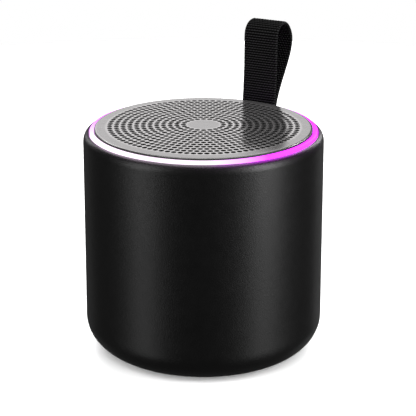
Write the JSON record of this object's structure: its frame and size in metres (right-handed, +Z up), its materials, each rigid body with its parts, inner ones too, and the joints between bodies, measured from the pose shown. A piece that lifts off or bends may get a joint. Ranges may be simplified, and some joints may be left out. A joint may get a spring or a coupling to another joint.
{
  "type": "portable bluetooth speaker",
  "caption": "Small round portable speaker with a perforated aluminium top grille, a glowing light ring, a webbing carry strap and a rear button panel.",
  "frame": {"origin": "centre of the underside of the round rubber foot, on the body's axis", "axes": "+Z up along the body's axis, out of the grille; +Y towards the rear, where the strap and the control panel are; +X to the right seen from the front"},
  "size_m": [0.075, 0.0901, 0.0981],
  "materials": {
    "body_paint": "fine-grained soft-touch matte black paint over a moulded shell",
    "foot_rubber": "matte",
    "button_rubber": "matte",
    "black_plastic": "lightly textured moulding",
    "grille_aluminium": "satin, finely brushed",
    "grille_cloth": "fine open weave",
    "lit_acrylic": "frosted acrylic lit from below by coloured LEDs",
    "clear_acrylic": "clear moulded light pipe",
    "strap_webbing": "ribbed black webbing",
    "steel": "plain bright steel",
    "zinc_plate": "zinc plated",
    "board_laminate": "green solder resist",
    "ivory_plastic": "plain moulding",
    "cell": "blue heat-shrink wrap on a metal can",
    "foam": "closed-cell foam",
    "driver_paint": "black pressed steel",
    "ferrite": "ground ferrite",
    "copper": "enamelled copper winding on a paper former",
    "cone_paper": "pressed pulp",
    "surround_rubber": "moulded half-roll",
    "spider_cloth": "resin-dipped cloth",
    "red_wire": "insulated wire",
    "black_wire": "insulated wire",
    "amber_film": "flexible printed film"
  },
  "bodies": {
    "housing": {"outer_shell": "body_paint", "rubber_foot": "foot_rubber", "baffle": "black_plastic", "light_ring": "lit_acrylic", "led_board": "board_laminate", "grille_plate": "grille_aluminium", "grille_cloth": "grille_cloth", "baffle_screw_1": "zinc_plate", "baffle_screw_2": "zinc_plate", "baffle_screw_3": "zinc_plate", "strap_bar": "steel", "control_panel": "black_plastic", "power_switch": "steel", "volume_down_switch": "steel", "play_switch": "steel", "volume_up_switch": "steel", "status_lens": "clear_acrylic", "usb_port": "steel", "usb_tongue": "black_plastic", "main_board": "board_laminate", "bluetooth_module": "steel", "amplifier_chip": "black_plastic", "battery_connector": "ivory_plastic", "led_cable": "amber_film", "board_screw_1": "zinc_plate", "board_screw_2": "zinc_plate", "battery_cell": "cell", "battery_cradle": "black_plastic", "battery_pad": "foam", "cradle_screw_1": "zinc_plate", "cradle_screw_2": "zinc_plate", "driver_basket": "driver_paint", "driver_gasket": "foam", "driver_top_plate": "zinc_plate", "driver_magnet": "ferrite", "driver_yoke": "zinc_plate", "terminal_strip": "board_laminate", "driver_screw_1": "zinc_plate", "driver_screw_2": "zinc_plate", "driver_screw_3": "zinc_plate", "driver_screw_4": "zinc_plate", "battery_lead_positive": "red_wire", "battery_lead_negative": "black_wire", "speaker_lead_positive": "red_wire", "speaker_lead_negative": "black_wire"},
    "carry_strap": {"strap": "strap_webbing"},
    "power_key": {"power_button": "button_rubber", "power_switch_plunger": "ivory_plastic"},
    "volume_down_key": {"volume_down_button": "button_rubber", "volume_down_switch_plunger": "ivory_plastic"},
    "play_key": {"play_button": "button_rubber", "play_switch_plunger": "ivory_plastic"},
    "volume_up_key": {"volume_up_button": "button_rubber", "volume_up_switch_plunger": "ivory_plastic"},
    "moving_cone": {"cone": "cone_paper", "dust_cap": "cone_paper", "voice_coil": "copper", "surround": "surround_rubber", "spider": "spider_cloth"}
  },
  "joints": [
    {"name": "strap_swing", "type": "hinge", "parent": "housing", "child": "carry_strap", "pos_m": [0, 0.0356, 0.062], "axis": [-1, 0, 0], "range_deg": [0, 115]},
    {"name": "power_press", "type": "slide", "parent": "housing", "child": "power_key", "axis": [0, -1, 0], "range_m": [0, 0.0004], "stiffness_N_per_m": 3000},
    {"name": "volume_down_press", "type": "slide", "parent": "housing", "child": "volume_down_key", "axis": [0, -1, 0], "range_m": [0, 0.0004], "stiffness_N_per_m": 3000},
    {"name": "play_press", "type": "slide", "parent": "housing", "child": "play_key", "axis": [0, -1, 0], "range_m": [0, 0.0004], "stiffness_N_per_m": 3000},
    {"name": "volume_up_press", "type": "slide", "parent": "housing", "child": "volume_up_key", "axis": [0, -1, 0], "range_m": [0, 0.0004], "stiffness_N_per_m": 3000},
    {"name": "cone_travel", "type": "slide", "parent": "housing", "child": "moving_cone", "axis": [0, 0, 1], "range_m": [-0.0015, 0.0015], "stiffness_N_per_m": 1500, "deforming": ["surround", "spider"]}
  ]
}
